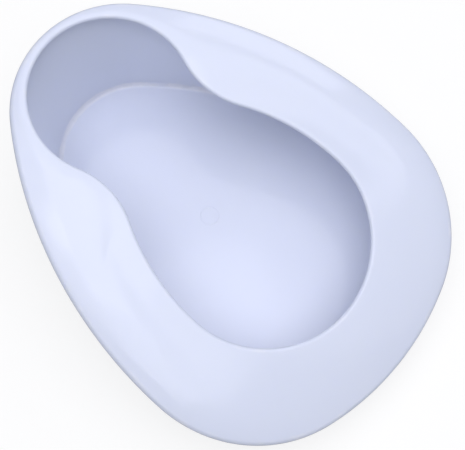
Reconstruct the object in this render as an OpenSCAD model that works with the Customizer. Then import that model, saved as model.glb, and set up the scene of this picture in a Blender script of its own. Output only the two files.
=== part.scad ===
// Adult bedpan, millimetres.
// Two mouldings joined by a lap joint round the outer edge: an egg-shaped bowl with a flat base, and a
// seat with a keyhole opening. +Y points to the narrow, tall end; the origin is under the middle of the
// pan, on the plane that it stands on.

/* [Outline] */
// Length from the narrow end to the wide end
pan_l = 400; // [380:5:420]
// Width at the widest place
pan_w = 320; // [300:5:335]
// How far the widest place lies behind the middle
pan_widest = 73; // [60:1:80]
// Radius round the narrow end
nose_r = 95.5; // [88:0.5:104]
// Radius of each rear corner, as a share of the distance from the widest place to the back
corner_share = 0.95; // [0.85:0.01:0.97]

/* [Seat opening] */
// Width of the seat in front of the opening
front_seat_w = 10; // [9.5:0.5:16]
// Width of the opening's wide part
open_w = 181; // [174:1:190]
// How far the opening's widest place lies behind the middle
open_widest = 51; // [45:1:58]
// From the opening's widest place to its back
open_rear = 86; // [78:1:89]
// Radius of the round front part
lobe_r = 67.5; // [62:0.5:70]
// Radius of the inward bend at each side of the neck
neck_r = 71; // [55:1:85]
// Radius of each side behind the neck
open_flank_r = 190; // [160:5:230]
// Radius of each rear corner of the opening, as a share of the distance from its widest place to its back
open_corner_share = 0.93; // [0.85:0.01:0.97]

/* [Side profile] */
// Height of the seat's outer edge at the narrow end
edge_front_h = 132; // [120:1:140]
// Height of the seat's outer edge at the wide end
edge_back_h = 45.5; // [42:0.5:55]
// How far the outer edge bows up between the two ends
edge_bow = 9; // [4:1:14]
// Height of the opening's rim above the outer edge at the narrow end
rim_front_rise = 0.5; // [0:0.5:3]
// Height of the opening's rim above the outer edge at the wide end
rim_back_rise = 2.5; // [0:0.5:5]
// How far the rim bows up more than the outer edge does
rim_bow = 4; // [0:1:8]
// Crown of the seat between rim and edge, for each millimetre of its width
seat_crown = 0.035; // [0:0.005:0.06]

/* [Mouldings] */
// Wall thickness of both mouldings
wall = 2.5; // [2.2:0.1:2.7]
// Radius where the seat turns down into the opening
lip_r = 2.8; // [2.7:0.1:3.3]
// Depth of the straight part of that lip
lip_h = 1; // [0.5:0.5:3]
// Radius where the seat rolls down at its outer edge
roll_r = 6; // [5:0.1:6.3]
// Height of the skirt below the roll, which laps over the bowl
skirt_h = 6; // [5:0.5:9]
// Play in the lap joint, filled by the weld
joint_gap = 0.1; // [0.05:0.05:0.3]
// How far the bowl's shoulder stands back from the seat's edge
shoulder_in = 1.2; // [0.8:0.1:1.6]
// Distance of the floor's corner from the seat's edge, at the narrow end
floor_front_in = 15; // [13:0.5:18]
// The same at the sides
floor_side_in = 17; // [14:0.5:20]
// The same at the wide end
floor_back_in = 20; // [14:1:24]
// Inside radius between floor and wall, at the narrow end and the sides
fillet_r = 6; // [4:0.5:8]
// The same at the wide end
fillet_back_r = 18; // [10:1:20]

/* [Gate mark] */
// Diameter of the moulding gate's ring on the floor
gate_d = 18; // [14:1:24]
// Distance of the ring in front of the middle of the pan
gate_y = 17; // [0:1:40]
// Width of the ring's raised line
gate_line = 0.8; // [0.6:0.1:1.2]
// Height of the raised line
gate_h = 0.3; // [0.2:0.1:0.5]

/* [Hidden] */
PLASTIC = [0.86, 0.88, 0.96];

STATIONS = 96;      // sections round the pan
PLATE_STEPS = 7;    // steps across the seat's plate
LIP_STEPS = 3;      // steps round the opening's lip
ROLL_STEPS = 4;     // steps round the outer roll
FILLET_STEPS = 5;   // steps round the floor fillet
GATE_FN = 64;       // sides of the gate ring

hub = [0, 60];      // both outlines can be seen whole from here
edge_flank_r = flank_radius(nose_r, pan_w / 2, pan_l / 2 - nose_r + pan_widest);
seam_drop = roll_r + skirt_h;   // from the top of the edge down to the joint
lap_out = wall + joint_gap;     // the bowl's lap, from the seat's edge to its outside
lap_in = lap_out + wall;        // the same, to its inside

// ---------------------------------------------------------------- outlines
// An outline is its right half, from the narrow end round to the wide end, as a list of arcs that
// touch without a corner. An arc is [centre, radius, side], and side is -1 where it bends inward.

// Radius of the arc that leaves a front circle and is widest at half_w, dy behind that circle's centre
function flank_radius(r, half_w, dy) = (half_w^2 + dy^2 - r^2) / (2 * (half_w - r));

// Radius of the arc across the back, dy behind the widest place, that leaves a corner circle
function tail_radius(r, half_w, dy) = ((half_w - r)^2 + dy^2 - r^2) / (2 * (dy - r));

function unit(v) = v / norm(v);
function mix(a, b, s) = a + (b - a) * s;

// Where two circles with centres a and b cross, on the +X side
function crossing(a, ra, b, rb) =
    let (d = norm(b - a), u = (b - a) / d)
    let (along = (ra^2 - rb^2 + d^2) / (2 * d))
    a + along * u + sqrt(ra^2 - along^2) * [u.y, -u.x];

// The two arcs of an outline's rear: a corner that is widest at half_w, then one across the back,
// which lies dy behind the widest place
function rear_arcs(half_w, widest, dy, share) =
    let (r = share * dy, tail_r = tail_radius(r, half_w, dy))
    [[[half_w - r, -widest], r, 1], [[0, tail_r - widest - dy], tail_r, 1]];

edge_arcs = concat(
    [
        [[0, pan_l / 2 - nose_r], nose_r, 1],
        [[pan_w / 2 - edge_flank_r, -pan_widest], edge_flank_r, 1],
    ],
    rear_arcs(pan_w / 2, pan_widest, pan_l / 2 - pan_widest, corner_share)
);

lobe_c = [0, pan_l / 2 - front_seat_w - lobe_r];
open_flank_c = [open_w / 2 - open_flank_r, -open_widest];
neck_c = crossing(open_flank_c, open_flank_r + neck_r, lobe_c, lobe_r + neck_r);

rim_arcs = concat(
    [
        [lobe_c, lobe_r, 1],
        [neck_c, neck_r, -1],
        [open_flank_c, open_flank_r, 1],
    ],
    rear_arcs(open_w / 2, open_widest, open_rear, open_corner_share)
);

// The point where two arcs touch: beyond the smaller one's centre, or between the centres at a bend
function touch(a, b) =
    a[2] != b[2] || a[1] > b[1]
        ? a[0] + a[1] * unit(b[0] - a[0])
        : b[0] + b[1] * unit(a[0] - b[0]);

function bearing(p) = atan2(p.y - hub.y, p.x - hub.x);

// How many of the arcs' joints lie in front of this bearing, which is the number of the arc there
function arc_at(arcs, b) =
    len([for (i = [0 : len(arcs) - 2]) if (bearing(touch(arcs[i], arcs[i + 1])) > b) 1]);

// Where the ray from the hub at bearing b meets an arc, and the outward direction there
function meet(arc, b) =
    let (ray = [cos(b), sin(b)], to_c = arc[0] - hub, along = ray * to_c)
    let (p = hub + ray * (along + arc[2] * sqrt(along^2 - to_c * to_c + arc[1]^2)))
    [p, arc[2] * (p - arc[0]) / arc[1]];

function mirrored(v) = [-v.x, v.y];

// [point, outward direction] on a whole outline; b runs from -90 to 270
function outline(arcs, b) =
    let (half = b > 90 ? 180 - b : b, m = meet(arcs[arc_at(arcs, half)], half))
    b > 90 ? [mirrored(m[0]), mirrored(m[1])] : m;

bearings = [for (i = [0 : STATIONS - 1]) i * 360 / STATIONS - 90];
edge = [for (b = bearings) outline(edge_arcs, b)];
rim = [for (b = bearings) outline(rim_arcs, b)];

// ------------------------------------------------------------ side profile
function along_pan(y) = y / pan_l + 0.5;
function bowed(back, front, bow, s) = mix(back, front, s) + 4 * bow * s * (1 - s);
function edge_z(y) = bowed(edge_back_h, edge_front_h, edge_bow, along_pan(y));
function rim_z(y) = edge_z(y) + bowed(rim_back_rise, rim_front_rise, rim_bow, along_pan(y));

// -------------------------------------------------------------- skinning
// A section is a closed list of points at one station; every section has as many points.
function lift(p, z) = [p.x, p.y, z];

// A point at height z, and a distance q inside the outline
function inside(on, q, z) = lift(on[0] - on[1] * q, z);

function flat(lists) = [for (l = lists) each l];

// Quads between neighbouring sections; closed joins the last point of a section to its first
function skin_faces(n, m, closed) = [
    for (i = [0 : n - 1], j = [0 : m - (closed ? 1 : 2)])
        let (i2 = (i + 1) % n, j2 = (j + 1) % m)
        [i2 * m + j, i2 * m + j2, i * m + j2, i * m + j]
];

// ------------------------------------------------------------------- seat
// Top of the plate, a share s of the way from the lip to the roll
function plate(on_rim, on_edge, s) =
    let (a = lift(on_rim[0] + on_rim[1] * lip_r, rim_z(on_rim[0].y)))
    let (b = inside(on_edge, roll_r, edge_z(on_edge[0].y)))
    mix(a, b, s) + [0, 0, 4 * seat_crown * norm(b - a) * s * (1 - s)];

// An arc of the lip, from level with its centre up to its top
function lip_arc(on_rim, r) = [
    for (i = [0 : LIP_STEPS])
        let (a = 90 * i / LIP_STEPS)
        inside(on_rim, r * cos(a) - lip_r, rim_z(on_rim[0].y) - lip_r + r * sin(a))
];

// An arc of the roll, from its top down to level with its centre
function roll_arc(on_edge, r) = [
    for (i = [0 : ROLL_STEPS])
        let (a = 90 - 90 * i / ROLL_STEPS)
        inside(on_edge, roll_r - r * cos(a), edge_z(on_edge[0].y) - roll_r + r * sin(a))
];

function reversed(l) = [for (i = [len(l) - 1 : -1 : 0]) l[i]];

function seat_section(on_rim, on_edge) =
    let (lip_z = rim_z(on_rim[0].y) - lip_r - lip_h, seam_z = edge_z(on_edge[0].y) - seam_drop)
    let (plate_top = [for (i = [1 : PLATE_STEPS - 1]) plate(on_rim, on_edge, i / PLATE_STEPS)])
    concat(
        [inside(on_rim, -wall, lip_z), inside(on_rim, 0, lip_z)],
        lip_arc(on_rim, lip_r),
        plate_top,
        roll_arc(on_edge, roll_r),
        [inside(on_edge, 0, seam_z), inside(on_edge, wall, seam_z)],
        reversed(roll_arc(on_edge, roll_r - wall)),
        [for (p = reversed(plate_top)) p - [0, 0, wall]],
        reversed(lip_arc(on_rim, lip_r - wall))
    );

module seat() {
    sections = [for (i = [0 : STATIONS - 1]) seat_section(rim[i], edge[i])];
    color(PLASTIC)
        polyhedron(flat(sections), skin_faces(STATIONS, len(sections[0]), true));
}

// ------------------------------------------------------------------- bowl
// Fillet between a floor at height z0 and a wall that runs from [q0, z0] to [q1, z1], as [q, z] points
// from the floor to the wall; q is measured inward from the outline
function fillet(q0, z0, q1, z1, r) =
    let (lean = atan2(z1 - z0, q0 - q1), reach = r * tan(lean / 2))
    [for (i = [0 : FILLET_STEPS])
        let (a = lean * i / FILLET_STEPS)
        [q0 + reach - r * sin(a), z0 + r - r * cos(a)]];

// A size that differs between the front, the sides and the back, where the outline faces along dir
function facing(dir, front, side, back) = mix(side, dir.y > 0 ? front : back, dir.y^2);

function bowl_section(on_edge) =
    let (y = on_edge[0].y, dir = on_edge[1])
    let (corner = facing(dir, floor_front_in, floor_side_in, floor_back_in))
    let (r = facing(dir, fillet_r, fillet_r, fillet_back_r))
    let (seam_z = edge_z(y) - seam_drop - joint_gap, top_z = edge_z(y) - roll_r)
    let (within = fillet(corner, wall, lap_in, top_z, r))
    let (without = fillet(corner - wall, 0, shoulder_in, seam_z, r + wall))
    let (lap = [[lap_in, top_z], [lap_out, top_z], [lap_out, seam_z], [shoulder_in, seam_z]])
    [for (p = concat(within, lap, reversed(without))) inside(on_edge, p[0], p[1])];

module bowl_shell() {
    sections = [for (on_edge = edge) bowl_section(on_edge)];
    m = len(sections[0]);
    floor_face = [for (i = [STATIONS - 1 : -1 : 0]) i * m];
    base_face = [for (i = [0 : STATIONS - 1]) i * m + m - 1];
    polyhedron(
        flat(sections),
        concat(skin_faces(STATIONS, m, false), [floor_face, base_face])
    );
}

// Raised ring left by the moulding gate, sunk a little into the floor
module gate_mark() {
    translate([0, gate_y, wall - gate_h])
        rotate_extrude($fn = GATE_FN)
            translate([gate_d / 2 - gate_line, 0])
                square([gate_line, 2 * gate_h]);
}

module bowl() {
    color(PLASTIC)
        union() {
            bowl_shell();
            gate_mark();
        }
}

seat();
bowl();
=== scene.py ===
"""Bedpan: the two mouldings as smooth meshes, with plastic materials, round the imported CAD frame.

The seat and the bowl follow the same rules as the CAD source: an outline is made of touching arcs, and a
cross-section is swept round it. Lengths are in metres, in the CAD frame: +Y is the narrow, tall end.
"""
import math
from collections import namedtuple

import bpy
import numpy as np
from mathutils import Matrix, Vector


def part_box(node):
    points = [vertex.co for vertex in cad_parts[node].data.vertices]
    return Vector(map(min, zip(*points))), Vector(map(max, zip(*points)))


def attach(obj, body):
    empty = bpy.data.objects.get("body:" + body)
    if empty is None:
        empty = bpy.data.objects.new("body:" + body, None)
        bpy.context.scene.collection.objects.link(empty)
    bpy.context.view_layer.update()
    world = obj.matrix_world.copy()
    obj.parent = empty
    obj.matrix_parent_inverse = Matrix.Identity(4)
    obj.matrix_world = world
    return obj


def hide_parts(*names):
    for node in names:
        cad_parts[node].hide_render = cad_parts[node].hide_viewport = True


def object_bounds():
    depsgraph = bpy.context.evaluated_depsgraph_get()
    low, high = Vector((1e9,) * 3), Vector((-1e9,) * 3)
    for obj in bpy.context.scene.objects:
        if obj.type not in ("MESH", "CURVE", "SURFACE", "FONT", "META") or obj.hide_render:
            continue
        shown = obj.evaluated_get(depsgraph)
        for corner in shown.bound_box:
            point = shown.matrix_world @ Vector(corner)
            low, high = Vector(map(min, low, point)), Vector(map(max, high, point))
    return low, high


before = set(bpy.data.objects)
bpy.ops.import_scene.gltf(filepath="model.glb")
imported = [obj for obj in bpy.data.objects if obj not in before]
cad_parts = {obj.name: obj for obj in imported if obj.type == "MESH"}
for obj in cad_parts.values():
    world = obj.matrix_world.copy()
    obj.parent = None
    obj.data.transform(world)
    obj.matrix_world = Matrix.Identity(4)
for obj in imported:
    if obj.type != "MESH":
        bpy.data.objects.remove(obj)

cad_low, cad_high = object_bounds()
seat_low, seat_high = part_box("seat")

# ------------------------------------------------------------------ driving dimensions
MM = 0.001

PAN_L = seat_high.y - seat_low.y
PAN_HALF_W = 160 * MM
PAN_WIDEST = 73 * MM            # the widest place lies this far behind the middle
NOSE_R = 95.5 * MM
CORNER_SHARE = 0.95             # rear corner radius over the depth behind the widest place

FRONT_SEAT_W = 10 * MM          # seat in front of the opening
OPEN_HALF_W = 90.5 * MM
OPEN_WIDEST = 51 * MM
OPEN_REAR = 86 * MM             # from the opening's widest place to its back
LOBE_R = 67.5 * MM
NECK_R = 71 * MM
OPEN_FLANK_R = 190 * MM
OPEN_CORNER_SHARE = 0.93

EDGE_FRONT_H = 132 * MM         # height of the seat's outer edge
EDGE_BACK_H = 45.5 * MM
EDGE_BOW = 9 * MM
RIM_FRONT_RISE = 0.5 * MM       # height of the opening's rim above that
RIM_BACK_RISE = 2.5 * MM
RIM_BOW = 4 * MM
SEAT_CROWN = 0.035              # rise of the seat's middle, over its width

WALL = 2.5 * MM
LIP_R = 2.8 * MM
LIP_H = 1 * MM
ROLL_R = 6 * MM
SKIRT_H = 6 * MM
JOINT_GAP = 0.1 * MM
SHOULDER_IN = 1.2 * MM
FLOOR_FRONT_IN = 15 * MM        # from the seat's edge to the floor's corner
FLOOR_SIDE_IN = 17 * MM
FLOOR_BACK_IN = 20 * MM
FILLET_R = 6 * MM
FILLET_BACK_R = 18 * MM
EDGE_BREAK = 0.5 * MM           # radius on the small outside corners

GATE = np.array([0.0, 17 * MM])
GATE_RING_R = 8.6 * MM
GATE_LINE = 0.45 * MM           # half width of the ring's raised line
GATE_H = 0.3 * MM

HUB = np.array([0.0, 60 * MM])  # both outlines can be seen whole from here
STATIONS = 540                  # sections round the pan


# ------------------------------------------------------------------ outlines
Arc = namedtuple("Arc", "centre radius side")       # side is -1 where the outline bends inward
Outline = namedtuple("Outline", "points outward")   # one plan point and unit direction a station


def unit(v):
    return v / np.linalg.norm(v, axis=-1, keepdims=True)


def mix(a, b, s):
    return a + (b - a) * s


def flank_radius(r, half_w, dy):
    """Radius of the arc that leaves a front circle and is widest at half_w, dy behind its centre."""
    return (half_w**2 + dy**2 - r**2) / (2 * (half_w - r))


def tail_radius(r, half_w, dy):
    """Radius of the arc across the back, dy behind the widest place, that leaves a corner circle."""
    return ((half_w - r) ** 2 + dy**2 - r**2) / (2 * (dy - r))


def crossing(a, ra, b, rb):
    """Where two circles cross, on the +X side, when b lies in front of a."""
    d = np.linalg.norm(b - a)
    u = (b - a) / d
    along = (ra**2 - rb**2 + d**2) / (2 * d)
    return a + along * u + math.sqrt(ra**2 - along**2) * np.array([u[1], -u[0]])


def rear_arcs(half_w, widest, dy, share):
    """A rear corner and the arc across the back."""
    r = share * dy
    tail = tail_radius(r, half_w, dy)
    return [
        Arc(np.array([half_w - r, -widest]), r, 1),
        Arc(np.array([0, tail - widest - dy]), tail, 1),
    ]


def egg_arcs():
    """Right half of the pan's outer edge, from the narrow end round to the wide end."""
    flank = flank_radius(NOSE_R, PAN_HALF_W, PAN_L / 2 - NOSE_R + PAN_WIDEST)
    front = [
        Arc(np.array([0, PAN_L / 2 - NOSE_R]), NOSE_R, 1),
        Arc(np.array([PAN_HALF_W - flank, -PAN_WIDEST]), flank, 1),
    ]
    return front + rear_arcs(PAN_HALF_W, PAN_WIDEST, PAN_L / 2 - PAN_WIDEST, CORNER_SHARE)


def keyhole_arcs():
    """Right half of the seat's opening."""
    lobe = np.array([0, PAN_L / 2 - FRONT_SEAT_W - LOBE_R])
    flank = np.array([OPEN_HALF_W - OPEN_FLANK_R, -OPEN_WIDEST])
    neck = crossing(flank, OPEN_FLANK_R + NECK_R, lobe, LOBE_R + NECK_R)
    front = [Arc(lobe, LOBE_R, 1), Arc(neck, NECK_R, -1), Arc(flank, OPEN_FLANK_R, 1)]
    return front + rear_arcs(OPEN_HALF_W, OPEN_WIDEST, OPEN_REAR, OPEN_CORNER_SHARE)


def touch(a, b):
    """The point where two neighbouring arcs touch."""
    if a.side != b.side or a.radius > b.radius:
        return a.centre + a.radius * unit(b.centre - a.centre)
    return b.centre + b.radius * unit(a.centre - b.centre)


def bearing(p):
    return math.atan2(p[1] - HUB[1], p[0] - HUB[0])


def meet(arc, b):
    """Where the ray from the hub at bearing b meets an arc, and the outward direction there."""
    ray = np.array([math.cos(b), math.sin(b)])
    to_centre = arc.centre - HUB
    along = ray @ to_centre
    reach = along + arc.side * math.sqrt(along**2 - to_centre @ to_centre + arc.radius**2)
    p = HUB + ray * reach
    return p, arc.side * (p - arc.centre) / arc.radius


def make_outline(arcs):
    """The whole outline: its right half, and the mirror image of that."""
    joints = [bearing(touch(a, b)) for a, b in zip(arcs, arcs[1:])]
    points, outward = [], []
    for i in range(STATIONS):
        b = 2 * math.pi * i / STATIONS - math.pi / 2
        side = 1 if b <= math.pi / 2 else -1
        half = b if side == 1 else math.pi - b
        arc = arcs[sum(half < joint for joint in joints)]
        p, n = meet(arc, half)
        points.append([side * p[0], p[1]])
        outward.append([side * n[0], n[1]])
    return Outline(np.array(points), np.array(outward))


EDGE = make_outline(egg_arcs())
RIM = make_outline(keyhole_arcs())


# ------------------------------------------------------------------ side profile
def bowed(back, front, bow, s):
    return mix(back, front, s) + 4 * bow * s * (1 - s)


def edge_height(y):
    return bowed(EDGE_BACK_H, EDGE_FRONT_H, EDGE_BOW, y / PAN_L + 0.5)


def rim_height(y):
    return edge_height(y) + bowed(RIM_BACK_RISE, RIM_FRONT_RISE, RIM_BOW, y / PAN_L + 0.5)


EDGE_Z = edge_height(EDGE.points[:, 1])
RIM_Z = rim_height(RIM.points[:, 1])


# ------------------------------------------------------------------ rows of points
# A row is one point a station, all at the same place in the cross-section, with a wear-and-highlight
# value. It runs from 0, as moulded, to 1, fully pale: rubbed pale on edges and base, and a painted
# highlight along the floor's inside corner. More than 1 makes the pale band wider.
Row = namedtuple("Row", "points wear")


def place(outline, q, z):
    """Points at a distance q outside the outline, at height z. q and z are numbers or one a station."""
    q = np.broadcast_to(q, len(outline.points))
    z = np.broadcast_to(z, len(outline.points))
    plan = outline.points + outline.outward * q[:, None]
    return np.column_stack([plan, z])


def round_corner(before, corner, after, radius, steps):
    """An arc that rounds one corner of a path of (q, z) points, at every station."""
    u, v = unit(before - corner), unit(after - corner)
    half = np.arccos(np.clip((u * v).sum(1), -1, 1)) / 2
    reach = (radius / np.tan(half))[:, None]
    centre = corner + unit(u + v) * (radius / np.sin(half))[:, None]
    start, end = corner + u * reach - centre, corner + v * reach - centre
    turn = (math.pi - 2 * half)[:, None]
    arc = []
    for t in np.linspace(0, 1, steps + 1):
        arc.append(centre + (np.sin((1 - t) * turn) * start + np.sin(t * turn) * end) / np.sin(turn))
    return arc


def path(*qz):
    """Stations by (q, z), from two values that are numbers or one a station."""
    return np.column_stack([np.broadcast_to(v, STATIONS) for v in qz])


def rounded_path(corners):
    """Rows along a path of (corner, radius, steps, wear); the first and last corner are only ends.

    The wear-and-highlight value is strongest in the middle of each rounded corner.
    """
    rows = []
    for before, (corner, radius, steps, wear), after in zip(corners, corners[1:], corners[2:]):
        radius = np.broadcast_to(radius, STATIONS)
        for step, qz in enumerate(round_corner(before[0], corner, after[0], radius, steps)):
            share = math.sin(math.pi * step / steps)
            rows.append(Row(place(EDGE, qz[:, 0], qz[:, 1]), wear * share))
    return rows


# ------------------------------------------------------------------ seat
LIP_STEPS = 10
ROLL_STEPS = 14
PLATE_STEPS = 36
ROUND_STEPS = 8
BREAK_STEPS = 4                 # on the small outside corners

LIP_BOTTOM_WEAR = 0.3
LIP_WEAR = 0.5
ROLL_WEAR = 0.5
SKIRT_WEAR = 0.8


def seat_slopes():
    """Slope of the seat's plate where it leaves the lip and where it meets the roll.

    The crown is a parabola, whose slope at each end is four times its rise over its width.
    """
    lip_top = place(RIM, LIP_R, RIM_Z)
    roll_top = place(EDGE, -ROLL_R, EDGE_Z)
    width = np.linalg.norm((roll_top - lip_top)[:, :2], axis=1)
    chord = (roll_top - lip_top)[:, 2] / width
    return np.arctan(chord + 4 * SEAT_CROWN), np.arctan(chord - 4 * SEAT_CROWN)


LIP_TILT, ROLL_TILT = seat_slopes()


def lip_arc(r):
    """From the lip's straight face up to the plate, at distance r from the lip's centre."""
    arc = []
    for t in np.linspace(0, 1, LIP_STEPS + 1):
        a = t * (math.pi / 2 - LIP_TILT)
        arc.append(place(RIM, LIP_R - r * np.cos(a), RIM_Z - LIP_R + r * np.sin(a)))
    return arc


def roll_arc(r):
    """From the plate down to the skirt, at distance r from the roll's centre."""
    arc = []
    for t in np.linspace(1, 0, ROLL_STEPS + 1):
        a = t * (math.pi / 2 + ROLL_TILT)
        arc.append(place(EDGE, r * np.cos(a) - ROLL_R, EDGE_Z - ROLL_R + r * np.sin(a)))
    return arc


def plate_rows(start, end):
    """A cubic curve that leaves start along the lip's tangent and meets end along the roll's."""
    reach = np.linalg.norm(end - start, axis=1)[:, None]
    leave = np.column_stack([RIM.outward * np.cos(LIP_TILT)[:, None], np.sin(LIP_TILT)]) * reach
    arrive = np.column_stack([EDGE.outward * np.cos(ROLL_TILT)[:, None], np.sin(ROLL_TILT)]) * reach
    rows = []
    for t in np.linspace(0, 1, PLATE_STEPS + 1)[1:-1]:
        ease = t * t * (3 - 2 * t)
        rows.append(mix(start, end, ease) + t * (1 - t) * ((1 - t) * leave - t * arrive))
    return rows


def lip_bottom():
    """Half-round under the lip, from its back to its face."""
    z = RIM_Z - LIP_R - LIP_H + WALL / 2
    turns = np.linspace(0, math.pi, ROUND_STEPS + 1)
    return [place(RIM, WALL / 2 * (1 + math.cos(a)), z - WALL / 2 * math.sin(a)) for a in turns]


def skirt_bottom():
    """The skirt's lower edge, from its outside to its inside."""
    seam_z = EDGE_Z - ROLL_R - SKIRT_H
    return rounded_path([
        (path(0, EDGE_Z),),
        (path(0, seam_z), EDGE_BREAK, BREAK_STEPS, SKIRT_WEAR),
        (path(-WALL, seam_z), EDGE_BREAK, BREAK_STEPS, 0.0),
        (path(-WALL, EDGE_Z),),
    ])


def seat_rows():
    """From the lip's lower edge, over the seat to the skirt, and back along the underside."""
    lip, under_lip = lip_arc(LIP_R), lip_arc(LIP_R - WALL)
    roll, under_roll = roll_arc(ROLL_R), roll_arc(ROLL_R - WALL)
    rows = [Row(p, LIP_BOTTOM_WEAR) for p in lip_bottom()]
    rows += [Row(p, LIP_WEAR) for p in lip]
    rows += [Row(p, 0.0) for p in plate_rows(lip[-1], roll[0])]
    rows += [Row(p, ROLL_WEAR) for p in roll]
    rows += skirt_bottom()
    rows += [Row(p, 0.0) for p in reversed(under_roll)]
    rows += [Row(p, 0.0) for p in reversed(plate_rows(under_lip[-1], under_roll[0]))]
    rows += [Row(p, 0.0) for p in reversed(under_lip)]
    return rows


# ------------------------------------------------------------------ bowl
FLOOR_STEPS = 26
BASE_STEPS = 8
FILLET_STEPS = 12
LAP_STEPS = 3

CORNER_FRONT_HIGHLIGHT = 1.4         # painted highlight along the floor's inside corner, strongest here at the front
CORNER_SIDE_HIGHLIGHT = 0.8
CORNER_BACK_HIGHLIGHT = 0.4
SHOULDER_WEAR = 0.6
BASE_CORNER_WEAR = 0.5
BASE_WEAR = 0.6

GATE_CENTRE_R = 1.0 * MM
GATE_EDGE_R = 12 * MM           # the floor's round patch that holds the gate mark
GATE_INNER_ROWS = (3 * MM, 5.5 * MM)
GATE_OUTER_ROW = 10.8 * MM
GATE_LINE_ROWS = 13
GATE_LINE_REACH = 3             # half widths of the line that its rows cover on each side


def facing(front, side, back):
    """A size that differs between the front, the sides and the back of the pan, one a station."""
    ny = EDGE.outward[:, 1]
    return mix(side, np.where(ny > 0, front, back), ny**2)


def wall_rows():
    """From the floor's inside corner, over the lap, and down the outside to the base."""
    corner = facing(FLOOR_FRONT_IN, FLOOR_SIDE_IN, FLOOR_BACK_IN)
    # The floor's inside corner gets a painted highlight: a pale line along the fillet, strongest at the
    # front
    corner_highlight = facing(CORNER_FRONT_HIGHLIGHT, CORNER_SIDE_HIGHLIGHT, CORNER_BACK_HIGHLIGHT)
    fillet = facing(FILLET_R, FILLET_R, FILLET_BACK_R)
    lap_out, lap_in = WALL + JOINT_GAP, 2 * WALL + JOINT_GAP
    top_z = EDGE_Z - ROLL_R
    seam_z = top_z - SKIRT_H - JOINT_GAP
    middle = -corner - PAN_HALF_W / 2
    rows = rounded_path([
        (path(middle, WALL),),
        (path(-corner, WALL), fillet, FILLET_STEPS, corner_highlight),
        (path(-lap_in, top_z), EDGE_BREAK, LAP_STEPS, 0.0),
        (path(-lap_out, top_z), EDGE_BREAK, LAP_STEPS, 0.0),
        (path(-lap_out, seam_z),),
    ])
    rows.append(Row(place(EDGE, -lap_out, seam_z), 0.0))
    rows += rounded_path([
        (path(-lap_out, seam_z),),
        (path(-SHOULDER_IN, seam_z), EDGE_BREAK, BREAK_STEPS, SHOULDER_WEAR),
        (path(WALL - corner, 0), fillet + WALL, FILLET_STEPS, BASE_CORNER_WEAR),
        (path(middle, 0),),
    ])
    return rows


def gate_rows(toward, z):
    """Circles round the gate, out to its edge, with the raised ring."""
    ring = np.linspace(-GATE_LINE_REACH, GATE_LINE_REACH, GATE_LINE_ROWS) * GATE_LINE + GATE_RING_R
    radii = [GATE_CENTRE_R, *GATE_INNER_ROWS, *ring, GATE_OUTER_ROW, GATE_EDGE_R]
    rows = []
    for r in radii:
        rise = GATE_H * math.exp(-(((r - GATE_RING_R) / GATE_LINE) ** 2))
        rows.append(Row(np.column_stack([GATE + toward * r, np.full(STATIONS, z + rise)]), 0.0))
    return rows


def floor_rows(boundary, steps, wear):
    """From the gate's patch out to the boundary row, without that row."""
    toward = unit(boundary[:, :2] - GATE)
    inner = np.column_stack([GATE + toward * GATE_EDGE_R, boundary[:, 2]])
    shares = np.arange(1, steps) / steps
    return [Row(mix(inner, boundary, s), wear) for s in shares]


def bowl_rows():
    """From the gate out over the floor, round the wall, and back to the middle of the base."""
    wall = wall_rows()
    toward = unit(wall[0].points[:, :2] - GATE)
    rows = gate_rows(toward, WALL) + floor_rows(wall[0].points, FLOOR_STEPS, 0.0) + wall
    base = floor_rows(wall[-1].points, BASE_STEPS, BASE_WEAR)
    centre = np.column_stack([GATE + toward * GATE_CENTRE_R, np.zeros(STATIONS)])
    return rows + base[::-1] + [Row(centre, BASE_WEAR)]


# ------------------------------------------------------------------ meshes
def build_piece(name, rows, ring):
    """A closed mesh from rows. ring joins the last row to the first; otherwise both ends are capped."""
    points = np.concatenate([row.points for row in rows])
    wear = np.concatenate([np.broadcast_to(row.wear, STATIONS) for row in rows])
    faces = []
    pairs = [(j, (j + 1) % len(rows)) for j in range(len(rows) if ring else len(rows) - 1)]
    for j, j2 in pairs:
        for i in range(STATIONS):
            i2 = (i + 1) % STATIONS
            faces.append((j * STATIONS + i, j2 * STATIONS + i, j2 * STATIONS + i2, j * STATIONS + i2))
    if not ring:
        last = (len(rows) - 1) * STATIONS
        faces.append(tuple(range(STATIONS)))
        faces.append(tuple(last + i for i in reversed(range(STATIONS))))
    mesh = bpy.data.meshes.new(name)
    mesh.from_pydata(points.tolist(), [], faces)
    mesh.update()
    mesh.polygons.foreach_set("use_smooth", [True] * len(mesh.polygons))
    attribute = mesh.attributes.new("wear", "FLOAT", "POINT")
    attribute.data.foreach_set("value", wear.astype(np.float32))
    piece = bpy.data.objects.new(name, mesh)
    bpy.context.scene.collection.objects.link(piece)
    return piece


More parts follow.
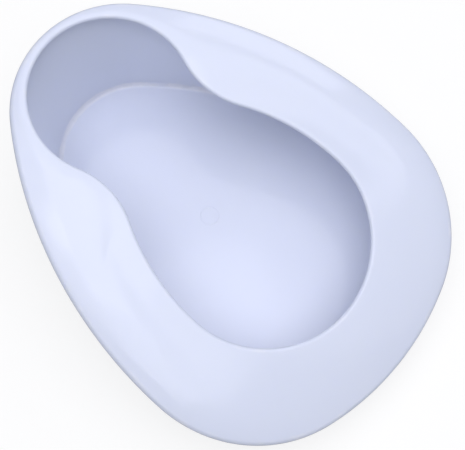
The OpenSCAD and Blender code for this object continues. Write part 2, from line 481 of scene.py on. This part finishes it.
# ------------------------------------------------------------------ materials
class Nodes:
    """Short words for building one material's node tree."""

    def __init__(self, name):
        self.material = bpy.data.materials.new(name)
        self.material.use_nodes = True
        self.tree = self.material.node_tree
        self.shader = self.tree.nodes["Principled BSDF"]

    def add(self, kind, inputs=(), **settings):
        node = self.tree.nodes.new(kind)
        for key, value in settings.items():
            setattr(node, key, value)
        for key, value in dict(inputs).items():
            self.set(node.inputs[key], value)
        return node

    def set(self, socket, value):
        """Links an output socket, or sets a plain value."""
        if isinstance(value, bpy.types.NodeSocket):
            self.tree.links.new(value, socket)
        else:
            socket.default_value = value

    def math(self, operation, a, b=0.0):
        return self.add("ShaderNodeMath", {0: a, 1: b}, operation=operation).outputs[0]

    def noise(self, vector, scale, detail=2.0, roughness=0.5):
        inputs = {"Vector": vector, "Scale": scale, "Detail": detail, "Roughness": roughness}
        return self.add("ShaderNodeTexNoise", inputs).outputs["Fac"]

    def remap(self, value, low, high, to_low, to_high):
        inputs = {"Value": value, "From Min": low, "From Max": high, "To Min": to_low, "To Max": to_high}
        return self.add("ShaderNodeMapRange", inputs).outputs["Result"]

    def blend(self, factor, a, b):
        node = self.add("ShaderNodeMix", data_type="RGBA")
        self.set(node.inputs["Factor"], factor)
        self.set(node.inputs[6], a)
        self.set(node.inputs[7], b)
        return node.outputs[2]

    def bump(self, height, distance, normal=None):
        node = self.add("ShaderNodeBump", {"Height": height, "Strength": 1.0, "Distance": distance})
        if normal is not None:
            self.set(node.inputs["Normal"], normal)
        return node.outputs["Normal"]


BODY_COLOUR = (0.835, 0.868, 0.985, 1)
COOL_COLOUR = (0.825, 0.86, 0.985, 1)
# Pale colour of rubbed edges and base, also used for the painted highlight along the floor's inside
# corner
WORN_AND_HIGHLIGHT_COLOUR = (0.91, 0.92, 0.995, 1)
PAPER_SEEN = (0.37, 0.36, 0.33, 1)
PAPER_BOUNCE = (0.5, 0.5, 0.5, 1)
PAPER_GLOW = 0.7
PAPER_ROUGHNESS = 0.9
PAPER_SPECULAR = 0.1

# Noise scales are in cycles a metre. A noise range is the part of its output that is stretched to full.
NOISE_RANGE = (0.3, 0.7)
CLOUD_SCALE = 9.0
CLOUD_RANGE = (0.35, 0.65)
FLOW_SCALE = 14.0               # cycles a radian round the gate, for streaks that fan out from it
WEAR_AND_HIGHLIGHT_SCALE = 60.0
WEAR_AND_HIGHLIGHT_RAGGED = 0.35              # how far the noise moves the edge of a pale place
WEAR_AND_HIGHLIGHT_RANGE = (0.5, 1.0)         # value where the pale colour of wear and painted highlight starts, and where it is full
WIPE_SCALE = 6.0
WIPE_STRETCH = (3.0, 14.0, 3.0)
WIPE_TURN = 0.6                 # radians
WIPE_RANGE = (0.4, 0.75)

GLOSS_SCALE = 35.0
GLOSS_SPREAD = (-0.02, 0.03)
WIPED_ROUGHER = 0.05
WORN_AND_HIGHLIT_ROUGHER = 0.15
FLOW_ROUGHER = 0.01

WAVE_SCALE = 26.0
WAVE_DEPTH = 0.2 * MM
GRAIN_SCALE = 420.0
GRAIN_DEPTH = 0.012 * MM

PLASTIC_IOR = 1.49
SCATTER_WEIGHT = 0.2
SCATTER_RADIUS = (1.0, 1.0, 1.2)
SCATTER_SCALE = 1.0 * MM

SEAT_GLOSS, SEAT_SCUFFING = 0.10, 1.0      # gloss is the roughness before wiping and wear
BOWL_GLOSS, BOWL_SCUFFING = 0.12, 0.6


def gate_flow(n, place_at):
    """Faint flow lines that fan out from the gate."""
    axes = n.add("ShaderNodeSeparateXYZ", {0: place_at})
    along_y = n.math("SUBTRACT", axes.outputs["Y"], float(GATE[1]))
    angle = n.math("ARCTAN2", along_y, axes.outputs["X"])
    streak_at = n.add("ShaderNodeCombineXYZ", {"X": angle, "Y": axes.outputs["Z"]}).outputs[0]
    return n.noise(streak_at, FLOW_SCALE, detail=3.0)


def worn_and_highlit_places(n, place_at):
    """1 where wear has turned the plastic pale, and where a highlight is painted along the floor's inside
    corner; the edge is ragged.
    """
    wear = n.add("ShaderNodeAttribute", attribute_name="wear").outputs["Fac"]
    uneven = n.remap(n.noise(place_at, WEAR_AND_HIGHLIGHT_SCALE, detail=4.0), *NOISE_RANGE, -WEAR_AND_HIGHLIGHT_RAGGED, WEAR_AND_HIGHLIGHT_RAGGED)
    return n.remap(n.math("ADD", wear, uneven), *WEAR_AND_HIGHLIGHT_RANGE, 0.0, 1.0)


def wiped_places(n, place_at, scuffing):
    """Long soft marks of wiping, all in one direction, as strong as scuffing."""
    stretch = {"Vector": place_at, "Scale": WIPE_STRETCH, "Rotation": (0, 0, WIPE_TURN)}
    wiped_at = n.add("ShaderNodeMapping", stretch).outputs[0]
    return n.remap(n.noise(wiped_at, WIPE_SCALE, detail=5.0, roughness=0.65), *WIPE_RANGE, 0.0, scuffing)


def moulded_plastic(name, gloss, scuffing):
    """Glossy moulded polypropylene: faint flow lines, fine waviness, wiped places, worn edges and a
    painted crease highlight.
    """
    n = Nodes(name)
    place_at = n.add("ShaderNodeTexCoord").outputs["Object"]
    wear_and_highlight_mask = worn_and_highlit_places(n, place_at)
    wiped = wiped_places(n, place_at, scuffing)
    flow = gate_flow(n, place_at)

    clouds = n.remap(n.noise(place_at, CLOUD_SCALE, detail=3.0), *CLOUD_RANGE, 0.0, 1.0)
    base = n.blend(clouds, BODY_COLOUR, COOL_COLOUR)
    # Pale where worn, and a painted highlight along the floor's inside corner
    n.set(n.shader.inputs["Base Color"], n.blend(wear_and_highlight_mask, base, WORN_AND_HIGHLIGHT_COLOUR))

    spread = [gloss + change for change in GLOSS_SPREAD]
    roughness = n.remap(n.noise(place_at, GLOSS_SCALE, detail=4.0), *NOISE_RANGE, *spread)
    roughness = n.math("ADD", roughness, n.math("MULTIPLY", wiped, WIPED_ROUGHER))
    roughness = n.math("ADD", roughness, n.math("MULTIPLY", wear_and_highlight_mask, WORN_AND_HIGHLIT_ROUGHER))
    roughness = n.math("ADD", roughness, n.remap(flow, *NOISE_RANGE, -FLOW_ROUGHER, FLOW_ROUGHER))
    n.set(n.shader.inputs["Roughness"], roughness)

    waves = n.bump(n.noise(place_at, WAVE_SCALE, detail=1.0), WAVE_DEPTH)
    grain = n.bump(n.noise(place_at, GRAIN_SCALE, detail=2.0), GRAIN_DEPTH, waves)
    n.set(n.shader.inputs["Normal"], grain)

    n.shader.inputs["IOR"].default_value = PLASTIC_IOR
    n.shader.inputs["Subsurface Weight"].default_value = SCATTER_WEIGHT
    n.shader.inputs["Subsurface Radius"].default_value = SCATTER_RADIUS
    n.shader.inputs["Subsurface Scale"].default_value = SCATTER_SCALE
    return n.material


def studio_floor_material():
    """Pale paper. It glows for the camera alone, so only soft shadows show, and it bounces grey light."""
    n = Nodes("studio_floor")
    seen = n.add("ShaderNodeLightPath").outputs["Is Camera Ray"]
    n.set(n.shader.inputs["Base Color"], n.blend(seen, PAPER_BOUNCE, PAPER_SEEN))
    n.set(n.shader.inputs["Emission Strength"], n.math("MULTIPLY", seen, PAPER_GLOW))
    n.shader.inputs["Emission Color"].default_value = (1, 1, 1, 1)
    n.shader.inputs["Roughness"].default_value = PAPER_ROUGHNESS
    n.shader.inputs["Specular IOR Level"].default_value = PAPER_SPECULAR
    return n.material


# ------------------------------------------------------------------ studio
FLOOR_HALF = 12.0
FLOOR_DROP = 0.2 * MM           # keeps the pan's flat base out of the floor's plane


def build_floor():
    mesh = bpy.data.meshes.new("studio_floor")
    corners = [(-1, -1), (1, -1), (1, 1), (-1, 1)]
    z = cad_low.z - FLOOR_DROP
    mesh.from_pydata([(FLOOR_HALF * x, FLOOR_HALF * y, z) for x, y in corners], [], [(0, 1, 2, 3)])
    floor = bpy.data.objects.new("studio_floor", mesh)
    bpy.context.scene.collection.objects.link(floor)
    mesh.materials.append(studio_floor_material())


DAYLIGHT = (0.86, 0.875, 0.995)
FILL_COLOUR = (0.8, 0.92, 1.0, 1)
FILL_STRENGTH = 0.12
BACKDROP_COLOUR = (0.92, 0.93, 0.95, 1)

# Azimuth runs anticlockwise from +X and elevation from the floor, both in degrees, as seen from the pan.
Softbox = namedtuple("Softbox", "name azimuth elevation distance size watts reflected")
SOFTBOXES = [
    Softbox("overhead_softbox", 150, 84, 1.4, (0.7, 0.7), 2.2, True),
    Softbox("ceiling_scrim", 0, 90, 1.45, (1.9, 1.9), 16.2, True),
    Softbox("glint_softbox", 151, 68, 1.6, (0.22, 0.22), 0.35, True),
    Softbox("high_front_softbox", 230, 66, 1.6, (0.8, 0.7), 1.0, True),
    Softbox("window_softbox", 310, 42, 1.8, (1.4, 0.9), 1.7, True),
    Softbox("right_softbox", 10, 42, 1.8, (0.9, 0.6), 3.4, True),
    Softbox("side_softbox", 178, 36, 1.8, (1.4, 0.9), 2.4, True),
    Softbox("rear_fill", 310, 68, 1.6, (0.9, 0.9), 1.6, False),
]
LIGHT_AIM = Vector((0, 0, 0.05))


def add_softbox(box):
    azimuth, elevation = math.radians(box.azimuth), math.radians(box.elevation)
    level = math.cos(elevation)
    toward = Vector((level * math.cos(azimuth), level * math.sin(azimuth), math.sin(elevation)))
    light = bpy.data.lights.new(box.name, "AREA")
    light.shape = "RECTANGLE"
    light.size, light.size_y = box.size
    light.energy = box.watts
    light.color = DAYLIGHT
    lamp = bpy.data.objects.new(box.name, light)
    lamp.location = LIGHT_AIM + toward * box.distance
    lamp.rotation_mode = "QUATERNION"
    lamp.rotation_quaternion = toward.to_track_quat("Z", "Y")
    lamp.visible_glossy = box.reflected
    bpy.context.scene.collection.objects.link(lamp)


def set_world():
    """Faint fill light from all round, and a pale backdrop for the camera alone."""
    world = bpy.data.worlds.new("studio")
    bpy.context.scene.world = world
    world.use_nodes = True
    tree = world.node_tree
    fill = tree.nodes["Background"]
    fill.inputs["Color"].default_value = FILL_COLOUR
    fill.inputs["Strength"].default_value = FILL_STRENGTH
    backdrop = tree.nodes.new("ShaderNodeBackground")
    backdrop.inputs["Color"].default_value = BACKDROP_COLOUR
    backdrop.inputs["Strength"].default_value = 1.0
    seen = tree.nodes.new("ShaderNodeLightPath").outputs["Is Camera Ray"]
    choose = tree.nodes.new("ShaderNodeMixShader")
    tree.links.new(seen, choose.inputs[0])
    tree.links.new(fill.outputs[0], choose.inputs[1])
    tree.links.new(backdrop.outputs[0], choose.inputs[2])
    tree.links.new(choose.outputs[0], tree.nodes["World Output"].inputs["Surface"])


CAMERA_AZIMUTH = 310.0          # degrees; 0 looks along +Y
CAMERA_ELEVATION = 74.67
CAMERA_ROLL = 1.25
CAMERA_DISTANCE = 0.7376
CAMERA_AIM = Vector((0.0081, -0.0047, 0.0))
CAMERA_LENS = 60.1              # mm
CAMERA_SENSOR_W = 36.0          # mm
CAMERA_CLIP = 10 * MM
VIEW_GAMMA = 1.14               # lifts the darker tones


def add_camera():
    a, e, roll = (math.radians(v) for v in (CAMERA_AZIMUTH, CAMERA_ELEVATION, CAMERA_ROLL))
    back = Vector((math.sin(a) * math.cos(e), -math.cos(a) * math.cos(e), math.sin(e)))
    level = (-back).cross(Vector((0, 0, 1))).normalized()
    upright = level.cross(-back)
    right = level * math.cos(roll) + upright * math.sin(roll)
    up = upright * math.cos(roll) - level * math.sin(roll)
    data = bpy.data.cameras.new("camera")
    data.sensor_width = CAMERA_SENSOR_W
    data.lens = CAMERA_LENS
    data.clip_start = CAMERA_CLIP
    camera = bpy.data.objects.new("camera", data)
    turn = Matrix((right, up, back)).transposed().to_4x4()
    camera.matrix_world = Matrix.Translation(CAMERA_AIM + back * CAMERA_DISTANCE) @ turn
    bpy.context.scene.collection.objects.link(camera)
    bpy.context.scene.camera = camera


def set_view():
    view = bpy.context.scene.view_settings
    view.view_transform = "Standard"
    view.gamma = VIEW_GAMMA


# ------------------------------------------------------------------ scene
def add_moulding(node, rows, ring, material):
    piece = build_piece(node + "_moulding", rows, ring)
    piece.data.materials.append(material)
    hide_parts(node)
    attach(piece, "root")


add_moulding("seat", seat_rows(), True, moulded_plastic("seat_plastic", SEAT_GLOSS, SEAT_SCUFFING))
add_moulding("bowl", bowl_rows(), False, moulded_plastic("bowl_plastic", BOWL_GLOSS, BOWL_SCUFFING))

build_floor()
set_world()
for box in SOFTBOXES:
    add_softbox(box)
add_camera()
set_view()
